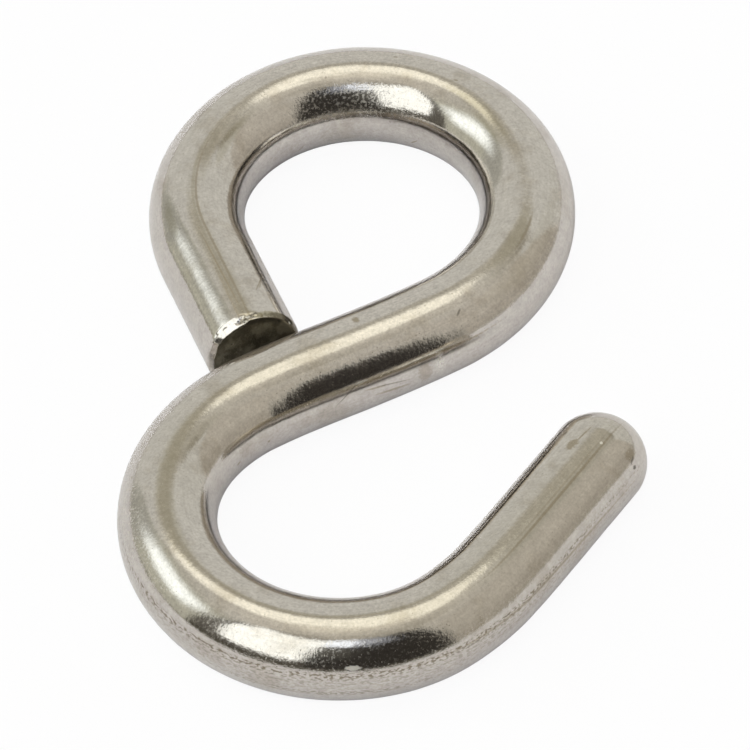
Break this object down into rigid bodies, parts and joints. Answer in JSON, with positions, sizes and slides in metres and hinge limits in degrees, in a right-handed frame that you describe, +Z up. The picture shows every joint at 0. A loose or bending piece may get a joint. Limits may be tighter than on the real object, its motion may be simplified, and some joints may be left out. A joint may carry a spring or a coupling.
{
  "type": "s hook",
  "caption": "Flat S hook bent from thick round rod, with a nearly closed eye at one end and an open hook with a domed tip at the other.",
  "frame": {"origin": "middle of the bounding box at its underside, which is the plane that the hook lies on", "axes": "+Y from the hook's bowl to the crown of the eye, +Z up, square to the flat S, and +X towards the side on which the hook opens"},
  "size_m": [0.042, 0.0676, 0.008],
  "materials": {
    "steel": "tumbled bright stainless steel, with fine lengthwise drawing lines, small pits and faint brownish stains, and a dull sheared end"
  },
  "bodies": {
    "root": {"s_hook": "steel"}
  },
  "joints": []
}
